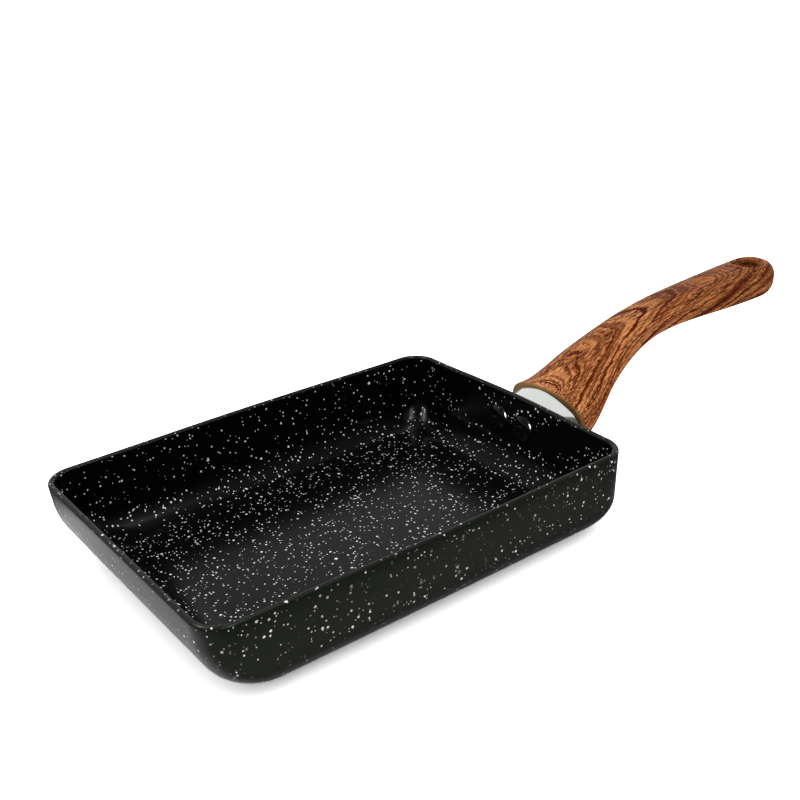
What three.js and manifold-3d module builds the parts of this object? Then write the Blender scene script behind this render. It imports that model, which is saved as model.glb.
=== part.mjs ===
// Rolled-omelette pan: a pressed aluminium tray carries a cast bracket on two rivets. A steel ferrule
// covers the bracket, and a moulded handle slides over the bracket's tongue and is held by one screw.
// Millimetres, +Z up, +X along the handle. The origin is on the table, under the middle of the rim.

import * as THREE from 'three';
import { mergeVertices } from 'three/addons/utils/BufferGeometryUtils.js';
import Module from 'manifold-3d';

const wasm = await Module();
wasm.setup();

const { degToRad, lerp } = THREE.MathUtils;

// Tray
const RIM_LENGTH = 182;
const RIM_WIDTH = 130;
const TRAY_HEIGHT = 34.9;
const WALL_THICKNESS = 2.5;
const BASE_THICKNESS = 3;
const RIM_CORNER_RADIUS = 11.5;
const SIDE_DRAFT = degToRad(1.6);
const SIDE_FILLET = 15;
const FRONT_DRAFT = degToRad(6);
const FRONT_FILLET = 30;
const SIDE_BOW = 1.2;
const BACK_BOW = 1.8;

// Pressed rings under the base, which keep it from warping
const GROOVE_COUNT = 3;
const GROOVE_WIDTH = 2.4;
const GROOVE_DEPTH = 0.6;
const GROOVE_PITCH = 8;
const GROOVE_MARGIN = 4;

// Rivets
const RIVET_DROP = 12.9;
const RIVET_HEAD_DIAMETER = 11;
const RIVET_HEAD_HEIGHT = 2.4;
const RIVET_SHANK_DIAMETER = 5;
const RIVET_TAIL_DIAMETER = 7;
const RIVET_TAIL_HEIGHT = 1.8;
const RIVET_TAIL_CHAMFER = 0.6;

// Bracket
const FLANGE_THICKNESS = 3;
const FLANGE_HEIGHT = 13;
const FLANGE_EDGE = 5.3;
const TONGUE_SIDE_WALL = 1.2;
const TONGUE_HEIGHT = 8;
const TONGUE_REACH = 32;
const TONGUE_SQUARENESS = 8;

// Ferrule
const FERRULE_LENGTH = 18.2;
const FERRULE_WALL = 0.8;
const FERRULE_DROP = 1.5;
const FERRULE_SIDE_ROOM = 0.8;
const FERRULE_TOP_ROOM = 3.7;
const FERRULE_FLARE = 2.2;
const FERRULE_SIDE_SETBACK = 1;
const FERRULE_TOP_SETBACK = 0.4;
const FERRULE_SQUARENESS = 2;
const FERRULE_INSERT = 3;

// Handle: its middle line leaves the ferrule low, climbs to a shoulder and levels out to the tip
const JOINT_DROP = 2;
const FACE_TILT = degToRad(11);
const FACE_LEAD = 11.2;
const SHOULDER_REACH = 25.5;
const SHOULDER_RISE = 14.6;
const SHOULDER_SLOPE = degToRad(29.6);
const SHOULDER_LEAD = 40.6;
const HANDLE_REACH = 147.7;
const HANDLE_RISE = 30.9;
const TIP_SLOPE = degToRad(2.3);
const TIP_LEAD = 73;
const HANDLE_FRONT_WIDTH = 43.4;
const HANDLE_FRONT_HEIGHT = 26.5;
const WAIST_WIDTH = 20.3;
const WAIST_HEIGHT = 14.6;
const WAIST_DISTANCE = 69;
const FLARE_POWER = 0.66;
const TIP_WIDTH = 24.5;
const TIP_HEIGHT = 18.4;
const TIP_ROUND = 15;
const TIP_PLAN_POWER = 2;
const TIP_SIDE_POWER = 3;
const TIP_LEAN = degToRad(10);
const LIP_WALL = 1.6;
const LIP_ROUND = 0.6;
const SECTION_SQUARENESS = 2.4;

// Hanging hole
const HANG_WIDTH = 12;
const HANG_STRAIGHT = 2;
const HANG_SETBACK = 16;
const HANG_CHAMFER = 1.2;

// Screw and washer
const SCREW_DIAMETER = 4;
const SCREW_HEAD_LIP = 1.8;
const SCREW_HEAD_HEIGHT = 2.4;
const SCREW_CROWN = 1.2;
const SCREW_SETBACK = 14;
const SCREW_SEAT_WALL = 2.2;
const RECESS_LENGTH = 4.6;
const RECESS_WIDTH = 1.1;
const RECESS_DEPTH = 1.4;
const WASHER_WIDTH = 1.3;
const WASHER_THICKNESS = 1;
const WASHER_SPLIT = 0.9;

// Clearances
const FIT_GAP = 0.3;
const NECK_GAP = 0.6;
const SOCKET_GAP = 0.4;
const HEAD_GAP = 0.7;

// Steps of the faceted curves
const CORNER_STEPS = 6;
const BOW_STEPS = 8;
const FILLET_STEPS = 12;
const RIM_STEPS = 4;
const FERRULE_STEPS = 8;
const LIP_STEPS = 2;
const OVAL_POINTS = 40;
const ROUND_STEPS = 28;
const DOME_STEPS = 5;
const HANDLE_STEPS = 26;
const TIP_STEPS = 9;
const TONGUE_STEPS = 8;
const TONGUE_POINTS = 16;

// Sizes that follow from the ones above
const RIM_ROUND = WALL_THICKNESS / 2;
const WALL_TOP = TRAY_HEIGHT - RIM_ROUND;
const WALL_LEAN = Math.atan(Math.tan(SIDE_DRAFT) + BACK_BOW / WALL_TOP);
const RIVET_HEIGHT = TRAY_HEIGHT - RIVET_DROP;
const JOINT_HEIGHT = RIVET_HEIGHT - JOINT_DROP;
const SHANK_HOLE_RADIUS = RIVET_SHANK_DIAMETER / 2 + FIT_GAP;
const SCREW_HOLE_RADIUS = SCREW_DIAMETER / 2 + FIT_GAP;
const SCREW_HEAD_RADIUS = SCREW_DIAMETER / 2 + SCREW_HEAD_LIP;
const TONGUE_WIDTH = 2 * (SCREW_HOLE_RADIUS + TONGUE_SIDE_WALL);
const RIVET_SPACING = TONGUE_WIDTH + RIVET_TAIL_DIAMETER + 2 * NECK_GAP;
const FLANGE_WIDTH = RIVET_SPACING + 2 * FLANGE_EDGE;
const SEAT_BOTTOM = RIVET_HEIGHT - Math.max(FLANGE_HEIGHT, RIVET_HEAD_DIAMETER) / 2;

function finish(color, roughness, metalness) {
  return new THREE.MeshStandardMaterial({ color, roughness, metalness });
}

const coatedAluminium = finish(0x1a1b1a, 0.45, 0.1);
const castAluminium = finish(0xa9abad, 0.5, 0.9);
const satinSteel = finish(0xcfd3d6, 0.3, 1);
const woodPrint = finish(0x9a5c34, 0.5, 0);
const zincSteel = finish(0xb4b6b8, 0.4, 1);

const pan = new THREE.Group();

function addPiece(name, geometry, material, parent = pan) {
  const mesh = new THREE.Mesh(geometry, material);
  mesh.name = name;
  parent.add(mesh);
}

// Joining and cutting of closed shapes

function toSolid(geometry, matrix = new THREE.Matrix4()) {
  const bare = geometry.clone().applyMatrix4(matrix);
  bare.deleteAttribute('normal');
  bare.deleteAttribute('uv');
  const merged = mergeVertices(bare);
  const corners = merged.index.array;
  const triangles = [];
  for (let i = 0; i < corners.length; i += 3) {
    const [a, b, c] = corners.slice(i, i + 3);
    if (a !== b && b !== c && c !== a) triangles.push(a, b, c);
  }
  return new wasm.Manifold(new wasm.Mesh({
    numProp: 3,
    vertProperties: new Float32Array(merged.attributes.position.array),
    triVerts: new Uint32Array(triangles),
  }));
}

function toGeometry(solid) {
  const mesh = solid.getMesh();
  const geometry = new THREE.BufferGeometry();
  geometry.setAttribute('position', new THREE.BufferAttribute(mesh.vertProperties, 3));
  geometry.setIndex(new THREE.BufferAttribute(mesh.triVerts, 1));
  geometry.computeVertexNormals();
  return geometry;
}

// Skin through rings of equally many points. A closed skin runs from the last ring back to the first,
// and an open one has a fan over each end.
function loft(rings, closed = false) {
  const count = rings[0].length;
  const points = rings.flat();
  const faces = [];
  const bands = closed ? rings.length : rings.length - 1;
  for (let i = 0; i < bands; i += 1) {
    const low = i * count;
    const high = ((i + 1) % rings.length) * count;
    for (let j = 0; j < count; j += 1) {
      const next = (j + 1) % count;
      faces.push(low + j, low + next, high + next);
      faces.push(low + j, high + next, high + j);
    }
  }
  if (!closed) {
    const last = (rings.length - 1) * count;
    const startCentre = points.push(middleOf(rings[0])) - 1;
    const endCentre = points.push(middleOf(rings.at(-1))) - 1;
    for (let j = 0; j < count; j += 1) {
      const next = (j + 1) % count;
      faces.push(startCentre, next, j);
      faces.push(endCentre, last + j, last + next);
    }
  }
  const geometry = new THREE.BufferGeometry().setFromPoints(points);
  geometry.setIndex(faces);
  geometry.computeVertexNormals();
  return geometry;
}

function middleOf(ring) {
  const sum = ring.reduce((total, point) => total.add(point), new THREE.Vector3());
  return sum.divideScalar(ring.length);
}

function ease(t) {
  return THREE.MathUtils.smoothstep(t, 0, 1);
}

// Section that stands across the handle, leaning back by its tilt. A squareness of 2 is an ellipse.
function squaredRing(centre, tilt, halfWidth, halfHeight, squareness, count) {
  const bulge = (value) => Math.sign(value) * Math.abs(value) ** (2 / squareness);
  const ring = [];
  for (let i = 0; i < count; i += 1) {
    const angle = (2 * Math.PI * i) / count;
    const up = halfHeight * bulge(Math.sin(angle));
    const across = halfWidth * bulge(Math.cos(angle));
    const x = centre.x - up * Math.sin(tilt);
    const z = centre.z + up * Math.cos(tilt);
    ring.push(new THREE.Vector3(x, across, z));
  }
  return ring;
}

function ovalRing(centre, tilt, halfWidth, halfHeight) {
  return squaredRing(centre, tilt, halfWidth, halfHeight, SECTION_SQUARENESS, OVAL_POINTS);
}

// Unit vector in the plane of symmetry, at a slope above +X.
function heading(slope) {
  return new THREE.Vector3(Math.cos(slope), 0, Math.sin(slope));
}

// Round bar along local Z from one height to another.
function roundBar(radius, from, to) {
  const bar = new THREE.CylinderGeometry(radius, radius, to - from, ROUND_STEPS);
  return bar.rotateX(Math.PI / 2).translate(0, 0, (from + to) / 2);
}

// Round bar along local X.
function crossBar(radius, from, to) {
  return roundBar(radius, from, to).rotateY(Math.PI / 2);
}

// Frame on the outside of the handle wall at the rivets' height, with local X square to the wall
function wallX(z) {
  return RIM_LENGTH / 2 + BACK_BOW - (WALL_TOP - z) * Math.tan(WALL_LEAN);
}

const wallMount = new THREE.Group();
wallMount.position.set(wallX(RIVET_HEIGHT), 0, RIVET_HEIGHT);
wallMount.rotation.y = WALL_LEAN;
wallMount.updateMatrix();
pan.add(wallMount);

const RIVET_PLACES = [
  { name: 'rivet_left', y: RIVET_SPACING / 2 },
  { name: 'rivet_right', y: -RIVET_SPACING / 2 },
];

// Tray: the rings of its skin climb the outside, turn over the rim and go down the inside

// How far a wall stands in from the rim's edge at height z. It leans by its draft down to a fillet,
// which turns it into the floor.
function wallInset(z, edge, floor, draft, fillet) {
  const tangentHeight = floor + fillet * (1 - Math.sin(draft));
  if (z >= tangentHeight) return edge + (WALL_TOP - z) * Math.tan(draft);
  const rise = WALL_TOP - floor - fillet;
  const filletCentre = edge + (fillet + rise * Math.sin(draft)) / Math.cos(draft);
  const below = fillet - (z - floor);
  return filletCentre - Math.sqrt(fillet ** 2 - below ** 2);
}

// The side fillet ends below the flange and the rivet heads, which sit on the straight wall.
function sideFillet(edge, floor) {
  return Math.min(SIDE_FILLET - edge, SEAT_BOTTOM - floor);
}

function frontFillet(edge, floor) {
  return Math.min(FRONT_FILLET - edge, WALL_TOP - floor);
}

// Points along a side between two corners. It bows out, from nothing at the base to most at the rim.
function bowedSide(from, to, outward, reach) {
  const points = [];
  for (let i = 1; i < BOW_STEPS; i += 1) {
    const share = i / BOW_STEPS;
    const bow = reach * (from.z / WALL_TOP) * (4 * share * (1 - share)) ** 2;
    points.push(from.clone().lerp(to, share).addScaledVector(outward, bow));
  }
  return points;
}

// Rounded rectangle of the tray in plan, set in from the rim's edge. Its front stays straight.
function trayRing(z, sideInset, frontInset, radius) {
  const back = RIM_LENGTH / 2 - sideInset;
  const front = -RIM_LENGTH / 2 + frontInset;
  const half = RIM_WIDTH / 2 - sideInset;
  const centres = [
    [back - radius, half - radius],
    [front + radius, half - radius],
    [front + radius, -half + radius],
    [back - radius, -half + radius],
  ];
  const [backLeft, frontLeft, frontRight, backRight] = centres.map(([x, y], quarter) => {
    const arc = [];
    for (let i = 0; i <= CORNER_STEPS; i += 1) {
      const angle = (Math.PI / 2) * (quarter + i / CORNER_STEPS);
      arc.push(new THREE.Vector3(x + radius * Math.cos(angle), y + radius * Math.sin(angle), z));
    }
    return arc;
  });
  return [
    ...backLeft,
    ...bowedSide(backLeft.at(-1), frontLeft[0], new THREE.Vector3(0, 1, 0), SIDE_BOW),
    ...frontLeft,
    ...frontRight,
    ...bowedSide(frontRight.at(-1), backRight[0], new THREE.Vector3(0, -1, 0), SIDE_BOW),
    ...backRight,
    ...bowedSide(backRight.at(-1), backLeft[0], new THREE.Vector3(1, 0, 0), BACK_BOW),
  ];
}

function wallRings(edge, floor) {
  const side = sideFillet(edge, floor);
  const front = frontFillet(edge, floor);
  const curved = Math.max(side, front);
  const heights = [];
  for (let i = 0; i <= FILLET_STEPS; i += 1) {
    heights.push(floor + curved * (1 - Math.cos((Math.PI / 2) * (i / FILLET_STEPS))));
  }
  if (floor + curved < WALL_TOP) heights.push(WALL_TOP);
  return heights.map((z) => {
    const sideInset = wallInset(z, edge, floor, SIDE_DRAFT, side);
    const frontInset = wallInset(z, edge, floor, FRONT_DRAFT, front);
    return trayRing(z, sideInset, frontInset, RIM_CORNER_RADIUS - edge);
  });
}

function rimRings() {
  const rings = [];
  for (let i = 1; i < RIM_STEPS; i += 1) {
    const angle = Math.PI * (i / RIM_STEPS);
    const inset = RIM_ROUND * (1 - Math.cos(angle));
    const z = WALL_TOP + RIM_ROUND * Math.sin(angle);
    rings.push(trayRing(z, inset, inset, RIM_CORNER_RADIUS - inset));
  }
  return rings;
}

// Rounded loop under the flat of the base, a groove's width across.
function grooveCutter(inset) {
  const sideFlat = wallInset(0, 0, 0, SIDE_DRAFT, sideFillet(0, 0)) + inset;
  const frontFlat = wallInset(0, 0, 0, FRONT_DRAFT, frontFillet(0, 0)) + inset;
  const section = [
    [0, -GROOVE_DEPTH],
    [0, GROOVE_DEPTH],
    [GROOVE_WIDTH, GROOVE_DEPTH],
    [GROOVE_WIDTH, -GROOVE_DEPTH],
  ];
  const rings = section.map(([inward, z]) => (
    trayRing(z, sideFlat + inward, frontFlat + inward, RIM_CORNER_RADIUS - inward)
  ));
  return loft(rings, true);
}

function panBody() {
  const outside = wallRings(0, 0);
  const inside = wallRings(WALL_THICKNESS, BASE_THICKNESS).reverse();
  let tray = toSolid(loft([...outside, ...rimRings(), ...inside]));
  for (let i = 0; i < GROOVE_COUNT; i += 1) {
    tray = tray.subtract(toSolid(grooveCutter(GROOVE_MARGIN + GROOVE_PITCH * i)));
  }
  for (const { y } of RIVET_PLACES) {
    const hole = crossBar(SHANK_HOLE_RADIUS, -2 * WALL_THICKNESS, WALL_THICKNESS);
    tray = tray.subtract(toSolid(hole.translate(0, y, 0), wallMount.matrix));
  }
  return toGeometry(tray);
}

addPiece('pan_body', panBody(), coatedAluminium);

// Rivets: domed head inside the tray, shank through the wall and the flange, flat tail behind the flange

const FLANGE_BACK = 2 * FIT_GAP + FLANGE_THICKNESS;

function rivet() {
  const headSeat = -WALL_THICKNESS - FIT_GAP;
  const headRadius = RIVET_HEAD_DIAMETER / 2;
  const shankRadius = RIVET_SHANK_DIAMETER / 2;
  const tailRadius = RIVET_TAIL_DIAMETER / 2;
  const tailEnd = FLANGE_BACK + RIVET_TAIL_HEIGHT;
  const profile = [];
  for (let i = 0; i <= DOME_STEPS; i += 1) {
    const angle = (Math.PI / 2) * (i / DOME_STEPS);
    const height = headSeat - RIVET_HEAD_HEIGHT * Math.cos(angle);
    profile.push(new THREE.Vector2(headRadius * Math.sin(angle), height));
  }
  profile.push(
    new THREE.Vector2(shankRadius, headSeat),
    new THREE.Vector2(shankRadius, FLANGE_BACK),
    new THREE.Vector2(tailRadius, FLANGE_BACK),
    new THREE.Vector2(tailRadius, tailEnd - RIVET_TAIL_CHAMFER),
    new THREE.Vector2(tailRadius - RIVET_TAIL_CHAMFER, tailEnd),
    new THREE.Vector2(0, tailEnd),
  );
  return new THREE.LatheGeometry(profile, ROUND_STEPS).rotateZ(-Math.PI / 2);
}

for (const { name, y } of RIVET_PLACES) {
  addPiece(name, rivet().translate(0, y, 0), coatedAluminium, wallMount);
}

// Handle's middle line, from the joint with the ferrule over the shoulder to the tip

const joint = new THREE.Vector3(wallX(JOINT_HEIGHT) + FERRULE_LENGTH, 0, JOINT_HEIGHT);
const shoulder = joint.clone().add(new THREE.Vector3(SHOULDER_REACH, 0, SHOULDER_RISE));
const tip = joint.clone().add(new THREE.Vector3(HANDLE_REACH, 0, HANDLE_RISE));
const middleLine = new THREE.CurvePath();
middleLine.add(new THREE.CubicBezierCurve3(
  joint,
  joint.clone().addScaledVector(heading(FACE_TILT), FACE_LEAD),
  shoulder.clone().addScaledVector(heading(SHOULDER_SLOPE), -FACE_LEAD),
  shoulder,
));
middleLine.add(new THREE.CubicBezierCurve3(
  shoulder,
  shoulder.clone().addScaledVector(heading(SHOULDER_SLOPE), SHOULDER_LEAD),
  tip.clone().addScaledVector(heading(TIP_SLOPE), -TIP_LEAD),
  tip,
));
const HANDLE_LENGTH = middleLine.getLength();

// Bracket: a flange on the wall, with a tongue that leaves it level and turns up along the handle

const flangeMiddle = new THREE.Vector3(FIT_GAP + FLANGE_THICKNESS / 2, 0, 0);
const tongueStart = wallMount.position.clone().add(flangeMiddle);
const tongueEnd = middleLine.getPointAt(TONGUE_REACH / HANDLE_LENGTH);
const tongueHeading = middleLine.getTangentAt(TONGUE_REACH / HANDLE_LENGTH);
const tongueClimb = (tongueEnd.z - tongueStart.z) / tongueHeading.z;
const tongueTurn = tongueEnd.clone().addScaledVector(tongueHeading, -tongueClimb);
const tongueLine = new THREE.QuadraticBezierCurve3(tongueStart, tongueTurn, tongueEnd);

function slopeOf(tangent) {
  return Math.atan2(tangent.z, tangent.x);
}

function tongue(grow) {
  const rings = [];
  const halfWidth = TONGUE_WIDTH / 2 + grow;
  const halfHeight = TONGUE_HEIGHT / 2 + grow;
  for (let i = 0; i <= TONGUE_STEPS; i += 1) {
    const share = i / TONGUE_STEPS;
    const centre = tongueLine.getPointAt(share);
    if (i === TONGUE_STEPS) centre.addScaledVector(tongueHeading, grow);
    const tilt = slopeOf(tongueLine.getTangentAt(share));
    rings.push(squaredRing(centre, tilt, halfWidth, halfHeight, TONGUE_SQUARENESS, TONGUE_POINTS));
  }
  return loft(rings);
}

// The screw's place on the tongue, with local X along the tongue and local Z across it
const screwPlace = 1 - SCREW_SETBACK / tongueLine.getLength();
const screwMount = new THREE.Group();
screwMount.position.copy(tongueLine.getPointAt(screwPlace));
screwMount.rotation.y = -slopeOf(tongueLine.getTangentAt(screwPlace));
screwMount.updateMatrix();
pan.add(screwMount);

function flange() {
  const straight = FLANGE_WIDTH / 2 - FLANGE_HEIGHT / 2;
  const outline = new THREE.Shape();
  outline.absarc(straight, 0, FLANGE_HEIGHT / 2, -Math.PI / 2, Math.PI / 2);
  outline.absarc(-straight, 0, FLANGE_HEIGHT / 2, Math.PI / 2, (3 * Math.PI) / 2);
  const plate = new THREE.ExtrudeGeometry(outline, {
    depth: FLANGE_THICKNESS,
    bevelEnabled: false,
    curveSegments: CORNER_STEPS * 2,
  });
  const ontoWall = new THREE.Matrix4().makeBasis(
    new THREE.Vector3(0, 1, 0),
    new THREE.Vector3(0, 0, 1),
    new THREE.Vector3(1, 0, 0),
  );
  return plate.applyMatrix4(ontoWall).translate(FIT_GAP, 0, 0);
}

function handleBracket() {
  let bracket = toSolid(flange(), wallMount.matrix).add(toSolid(tongue(0)));
  for (const { y } of RIVET_PLACES) {
    const hole = crossBar(SHANK_HOLE_RADIUS, -FLANGE_THICKNESS, 2 * FLANGE_THICKNESS);
    bracket = bracket.subtract(toSolid(hole.translate(0, y, 0), wallMount.matrix));
  }
  const tapped = roundBar(SCREW_HOLE_RADIUS, -TONGUE_HEIGHT, TONGUE_HEIGHT);
  return toGeometry(bracket.subtract(toSolid(tapped, screwMount.matrix)));
}

addPiece('handle_bracket', handleBracket(), castAluminium);

// Ferrule: a pressed oval collar that flares towards the handle's outline and ends as an ellipse, where it
// folds in to a neck. The neck slips into the handle's face.

const ferruleFrontOval = {
  halfWidth: FLANGE_WIDTH / 2 + FERRULE_SIDE_ROOM + FERRULE_WALL,
  halfHeight: FLANGE_HEIGHT / 2 + FERRULE_TOP_ROOM + FERRULE_WALL,
  squareness: SECTION_SQUARENESS,
};
const ferruleRearOval = {
  halfWidth: HANDLE_FRONT_WIDTH / 2 - FERRULE_SIDE_SETBACK,
  halfHeight: HANDLE_FRONT_HEIGHT / 2 - FERRULE_TOP_SETBACK,
  squareness: FERRULE_SQUARENESS,
};
const ferruleNeckOval = {
  halfWidth: HANDLE_FRONT_WIDTH / 2 - LIP_WALL - FIT_GAP,
  halfHeight: HANDLE_FRONT_HEIGHT / 2 - LIP_WALL - FIT_GAP,
  squareness: FERRULE_SQUARENESS,
};
const ferruleOffset = new THREE.Vector3(FIT_GAP, 0, -FERRULE_DROP);
const ferruleFront = wallMount.position.clone().add(ferruleOffset);

// Oval of the collar at a distance from the wall, or past its free length inside the handle.
function ferruleRing(distance, oval, grow) {
  const along = Math.min(distance / FERRULE_LENGTH, 1);
  const centre = ferruleFront.clone().lerp(joint, along);
  centre.addScaledVector(heading(FACE_TILT), Math.max(distance - FERRULE_LENGTH, 0));
  const tilt = lerp(-WALL_LEAN, FACE_TILT, along);
  const halfWidth = oval.halfWidth + grow;
  const halfHeight = oval.halfHeight + grow;
  return squaredRing(centre, tilt, halfWidth, halfHeight, oval.squareness, OVAL_POINTS);
}

// One skin of the collar: the flare up to its fold, and the neck behind it.
function ferruleSkin(fold, grow) {
  const rings = [];
  for (let i = 0; i <= FERRULE_STEPS; i += 1) {
    const distance = fold * (i / FERRULE_STEPS);
    const flare = (distance / FERRULE_LENGTH) ** FERRULE_FLARE;
    const oval = {
      halfWidth: lerp(ferruleFrontOval.halfWidth, ferruleRearOval.halfWidth, flare),
      halfHeight: lerp(ferruleFrontOval.halfHeight, ferruleRearOval.halfHeight, flare),
      squareness: lerp(ferruleFrontOval.squareness, ferruleRearOval.squareness, flare),
    };
    rings.push(ferruleRing(distance, oval, grow));
  }
  rings.push(ferruleRing(fold, ferruleNeckOval, grow));
  rings.push(ferruleRing(FERRULE_LENGTH + FERRULE_INSERT, ferruleNeckOval, grow));
  return rings;
}

function ferrule() {
  const fold = FERRULE_LENGTH - FIT_GAP;
  const outside = ferruleSkin(fold, 0);
  const inside = ferruleSkin(fold - FERRULE_WALL, -FERRULE_WALL).reverse();
  return loft([...outside, ...inside], true);
}

addPiece('ferrule', ferrule(), satinSteel);

// Handle: oval sections along the middle line, flared at the front, slim at the waist, round at the tip

const TIP_START = HANDLE_LENGTH - TIP_ROUND;

function handleRing(distance, trim = 0) {
  const share = distance / HANDLE_LENGTH;
  const toWaist = ease((distance / WAIST_DISTANCE) ** FLARE_POWER);
  const toTip = ease((distance - WAIST_DISTANCE) / (TIP_START - WAIST_DISTANCE));
  const girth = (front, waist, end) => (
    distance < WAIST_DISTANCE ? lerp(front, waist, toWaist) : lerp(waist, end, toTip)
  );
  const past = Math.max(0, (distance - TIP_START) / TIP_ROUND);
  const planRound = Math.sqrt(1 - past ** TIP_PLAN_POWER);
  const sideRound = Math.sqrt(1 - past ** TIP_SIDE_POWER);
  const halfWidth = (girth(HANDLE_FRONT_WIDTH, WAIST_WIDTH, TIP_WIDTH) / 2) * planRound;
  const halfHeight = (girth(HANDLE_FRONT_HEIGHT, WAIST_HEIGHT, TIP_HEIGHT) / 2) * sideRound;
  const tilt = slopeOf(middleLine.getTangentAt(share)) - TIP_LEAN * past ** 2;
  return ovalRing(middleLine.getPointAt(share), tilt, halfWidth - trim, halfHeight - trim);
}

function handleBlank() {
  const rings = [];
  for (let i = 0; i < LIP_STEPS; i += 1) {
    const angle = (Math.PI / 2) * (i / LIP_STEPS);
    rings.push(handleRing(LIP_ROUND * (1 - Math.cos(angle)), LIP_ROUND * (1 - Math.sin(angle))));
  }
  for (let i = 0; i <= HANDLE_STEPS; i += 1) {
    rings.push(handleRing(lerp(LIP_ROUND, TIP_START, i / HANDLE_STEPS)));
  }
  for (let i = 1; i < TIP_STEPS; i += 1) {
    rings.push(handleRing(TIP_START + TIP_ROUND * Math.sin((Math.PI / 2) * (i / TIP_STEPS))));
  }
  return loft(rings);
}

// Seat of the ferrule's neck in the handle's face.
function ferruleSeat() {
  const depths = [-FERRULE_INSERT, FERRULE_INSERT + FIT_GAP];
  const halfWidth = ferruleNeckOval.halfWidth + FIT_GAP;
  const halfHeight = ferruleNeckOval.halfHeight + FIT_GAP;
  return loft(depths.map((depth) => {
    const centre = joint.clone().addScaledVector(heading(FACE_TILT), depth);
    return squaredRing(centre, FACE_TILT, halfWidth, halfHeight, FERRULE_SQUARENESS, OVAL_POINTS);
  }));
}

// Upright slot for a hook, with chamfered mouths.
function hangingHole() {
  const share = 1 - HANG_SETBACK / HANDLE_LENGTH;
  const centre = middleLine.getPointAt(share);
  const half = TIP_HEIGHT / 2;
  const beyond = half;
  const levels = [
    [-half - beyond, HANG_CHAMFER + beyond],
    [-half + HANG_CHAMFER, 0],
    [half - HANG_CHAMFER, 0],
    [half + beyond, HANG_CHAMFER + beyond],
  ];
  return loft(levels.map(([up, grow]) => {
    const ring = [];
    for (let i = 0; i < OVAL_POINTS; i += 1) {
      const angle = (2 * Math.PI * (i + 0.5)) / OVAL_POINTS;
      const radius = HANG_WIDTH / 2 + grow;
      const end = centre.x + Math.sign(Math.cos(angle)) * (HANG_STRAIGHT / 2);
      const x = end + radius * Math.cos(angle);
      ring.push(new THREE.Vector3(x, radius * Math.sin(angle), centre.z + up));
    }
    return ring;
  }));
}

// Heights along the screw, measured from the middle of the tongue
const screwSeat = -(TONGUE_HEIGHT / 2 + SOCKET_GAP + SCREW_SEAT_WALL);
const washerTop = screwSeat - FIT_GAP;
const headTop = washerTop - WASHER_THICKNESS - FIT_GAP;

function handle() {
  const bore = roundBar(SCREW_HOLE_RADIUS, screwSeat - WASHER_THICKNESS, 0);
  const mouth = screwSeat - HANDLE_FRONT_HEIGHT;
  const counterbore = roundBar(SCREW_HEAD_RADIUS + HEAD_GAP, mouth, screwSeat);
  const solid = toSolid(handleBlank())
    .subtract(toSolid(ferruleSeat()))
    .subtract(toSolid(tongue(SOCKET_GAP)))
    .subtract(toSolid(bore, screwMount.matrix))
    .subtract(toSolid(counterbore, screwMount.matrix))
    .subtract(toSolid(hangingHole()));
  return toGeometry(solid);
}

addPiece('handle', handle(), woodPrint);

// Screw with a cross recess, and the split washer under its head

function handleScrew() {
  const shankRadius = SCREW_DIAMETER / 2;
  const profile = [];
  for (let i = 0; i <= DOME_STEPS; i += 1) {
    const angle = (Math.PI / 2) * (i / DOME_STEPS);
    const height = headTop - SCREW_HEAD_HEIGHT + SCREW_CROWN * (1 - Math.cos(angle));
    profile.push(new THREE.Vector2(SCREW_HEAD_RADIUS * Math.sin(angle), height));
  }
  profile.push(
    new THREE.Vector2(SCREW_HEAD_RADIUS, headTop),
    new THREE.Vector2(shankRadius, headTop),
    new THREE.Vector2(shankRadius, TONGUE_HEIGHT / 2),
    new THREE.Vector2(0, TONGUE_HEIGHT / 2),
  );
  let screw = toSolid(new THREE.LatheGeometry(profile, ROUND_STEPS).rotateX(Math.PI / 2));
  for (const turn of [0, Math.PI / 2]) {
    const slot = new THREE.BoxGeometry(RECESS_LENGTH, RECESS_WIDTH, 2 * RECESS_DEPTH);
    slot.rotateZ(turn).translate(0, 0, headTop - SCREW_HEAD_HEIGHT);
    screw = screw.subtract(toSolid(slot));
  }
  return toGeometry(screw);
}

function lockWasher() {
  const inner = SCREW_HOLE_RADIUS;
  const outer = inner + WASHER_WIDTH;
  const split = WASHER_SPLIT / (outer + inner);
  const outline = new THREE.Shape();
  outline.absarc(0, 0, outer, split, 2 * Math.PI - split);
  outline.absarc(0, 0, inner, 2 * Math.PI - split, split, true);
  const ring = new THREE.ExtrudeGeometry(outline, {
    depth: WASHER_THICKNESS,
    bevelEnabled: false,
    curveSegments: ROUND_STEPS,
  });
  return ring.translate(0, 0, washerTop - WASHER_THICKNESS);
}

addPiece('handle_screw', handleScrew(), zincSteel, screwMount);
addPiece('lock_washer', lockWasher(), zincSteel, screwMount);

export default pan;
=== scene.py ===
"""Looks of a rolled-omelette pan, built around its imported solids. Metres, +X along the handle, +Z up."""

from bisect import bisect
from collections import namedtuple
from itertools import accumulate, pairwise, product
from math import atan, atan2, copysign, cos, pi, radians, sin, sqrt, tan

import bmesh
import bpy
from mathutils import Matrix, Vector
from mathutils.geometry import interpolate_bezier


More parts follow.
